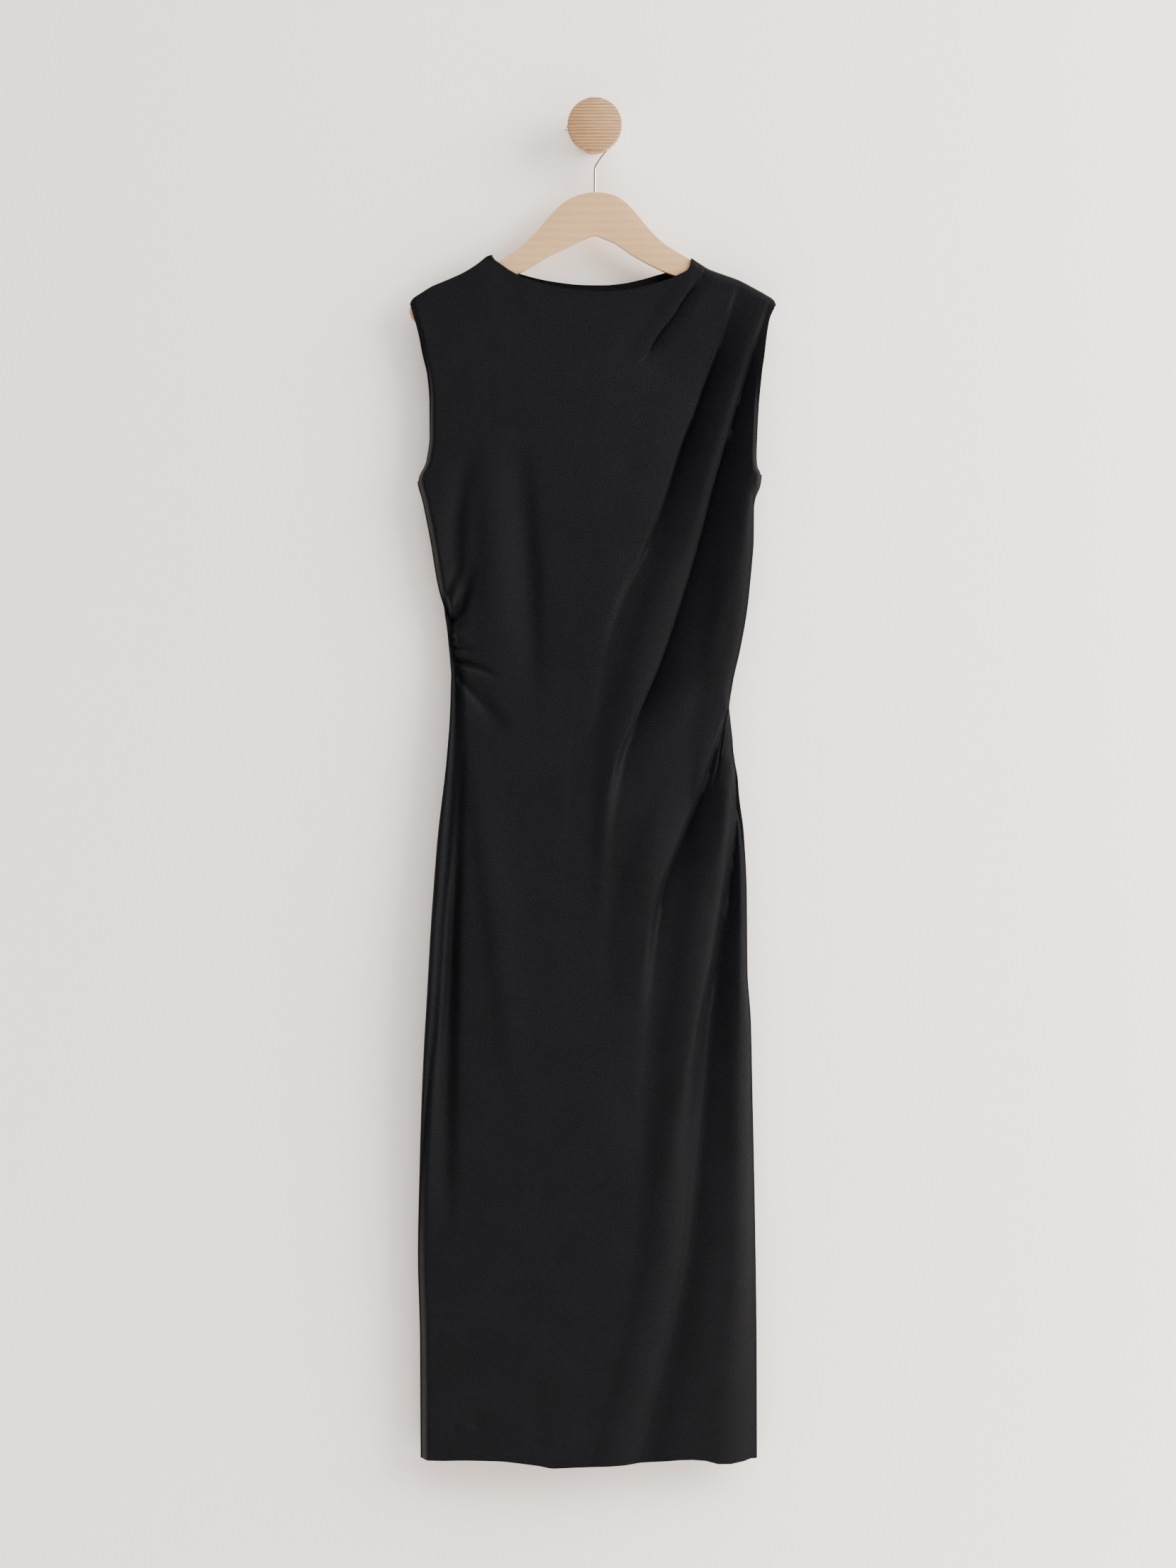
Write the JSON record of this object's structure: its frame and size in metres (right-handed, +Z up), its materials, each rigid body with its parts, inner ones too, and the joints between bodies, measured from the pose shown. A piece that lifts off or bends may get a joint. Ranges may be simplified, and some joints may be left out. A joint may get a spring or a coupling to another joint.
{
  "type": "sleeveless draped column midi dress on a wooden hanger and wall peg",
  "caption": "Sleeveless column midi dress with shoulder pleats, side gathers and draped hip folds, hung on a wooden hanger from a round wall peg.",
  "frame": {"origin": "centre of the wall peg's flat back face, where it meets the wall", "axes": "+X across the dress to the viewer's right, +Y into the wall, +Z up"},
  "size_m": [0.3873, 0.06, 1.4432],
  "materials": {
    "crepe": "heavy black crepe with a low soft sheen and a fine grainy surface",
    "hanger_wood": "pale beech, clear satin lacquer",
    "hook_wire": "bright plated steel wire",
    "peg_wood": "pale oak with open grain, oiled"
  },
  "bodies": {
    "root": {"front_panel": "crepe", "back_panel": "crepe", "hanger": "hanger_wood", "hanger_hook": "hook_wire", "wall_peg": "peg_wood"}
  },
  "joints": []
}
